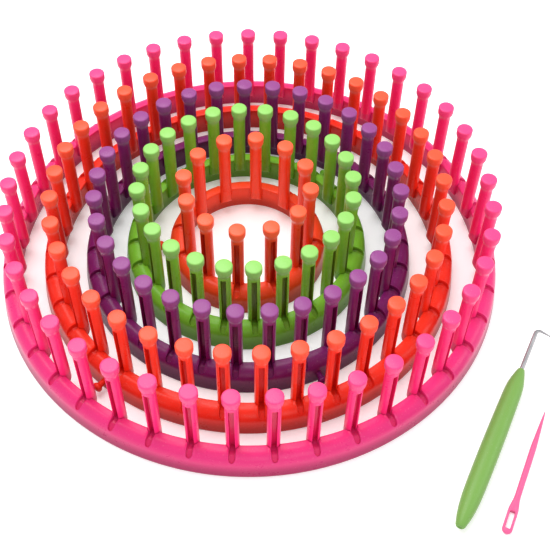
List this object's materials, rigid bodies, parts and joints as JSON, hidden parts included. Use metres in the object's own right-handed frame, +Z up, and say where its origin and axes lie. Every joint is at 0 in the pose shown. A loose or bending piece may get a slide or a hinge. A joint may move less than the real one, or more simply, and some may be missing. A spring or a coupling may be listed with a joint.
{
  "type": "knitting loom set",
  "caption": "Nested set of round peg looms for knitting tubes, with a bent hook tool and a yarn needle lying beside them.",
  "frame": {"origin": "in the middle of the whole set's footprint, in the plane that all the looms stand on", "axes": "+Z up along the pegs, +X towards the side where the tools lie, -Y the front"},
  "size_m": [0.3146, 0.3174, 0.06],
  "materials": {
    "pink_plastic": "glossy moulded",
    "orange_plastic": "glossy moulded",
    "purple_plastic": "glossy moulded",
    "green_plastic": "glossy moulded",
    "steel": "plain drawn wire"
  },
  "bodies": {
    "extra_large_loom": {"extra_large_loom_ring": "pink_plastic", "extra_large_loom_pegs_back": "pink_plastic", "extra_large_loom_pegs_left": "pink_plastic", "extra_large_loom_pegs_front": "pink_plastic", "extra_large_loom_pegs_right": "pink_plastic", "extra_large_loom_yarn_anchor": "pink_plastic"},
    "large_loom": {"large_loom_ring": "orange_plastic", "large_loom_pegs_back": "orange_plastic", "large_loom_pegs_left": "orange_plastic", "large_loom_pegs_front": "orange_plastic", "large_loom_pegs_right": "orange_plastic", "large_loom_yarn_anchor": "orange_plastic"},
    "medium_loom": {"medium_loom_ring": "purple_plastic", "medium_loom_pegs_back": "purple_plastic", "medium_loom_pegs_left": "purple_plastic", "medium_loom_pegs_front": "purple_plastic", "medium_loom_pegs_right": "purple_plastic", "medium_loom_yarn_anchor": "purple_plastic"},
    "small_loom": {"small_loom_ring": "green_plastic", "small_loom_pegs_back": "green_plastic", "small_loom_pegs_left": "green_plastic", "small_loom_pegs_front": "green_plastic", "small_loom_pegs_right": "green_plastic", "small_loom_yarn_anchor": "green_plastic"},
    "mini_loom": {"mini_loom_ring": "orange_plastic", "mini_loom_pegs_back": "orange_plastic", "mini_loom_pegs_left": "orange_plastic", "mini_loom_pegs_front": "orange_plastic", "mini_loom_pegs_right": "orange_plastic", "mini_loom_yarn_anchor": "orange_plastic"},
    "hook_tool": {"hook_tool_handle": "green_plastic", "hook_tool_hook": "steel"},
    "needle": {"yarn_needle": "pink_plastic"}
  },
  "joints": [
    {"name": "large_loom_lift", "type": "slide", "parent": "extra_large_loom", "child": "large_loom", "axis": [0, 0, 1], "range_m": [0, 0.08]},
    {"name": "medium_loom_lift", "type": "slide", "parent": "extra_large_loom", "child": "medium_loom", "axis": [0, 0, 1], "range_m": [0, 0.08]},
    {"name": "small_loom_lift", "type": "slide", "parent": "extra_large_loom", "child": "small_loom", "axis": [0, 0, 1], "range_m": [0, 0.08]},
    {"name": "mini_loom_lift", "type": "slide", "parent": "extra_large_loom", "child": "mini_loom", "axis": [0, 0, 1], "range_m": [0, 0.08]},
    {"name": "hook_tool_lift", "type": "slide", "parent": "extra_large_loom", "child": "hook_tool", "axis": [0, 0, 1], "range_m": [0, 0.08]},
    {"name": "needle_lift", "type": "slide", "parent": "extra_large_loom", "child": "needle", "axis": [0, 0, 1], "range_m": [0, 0.08]}
  ]
}
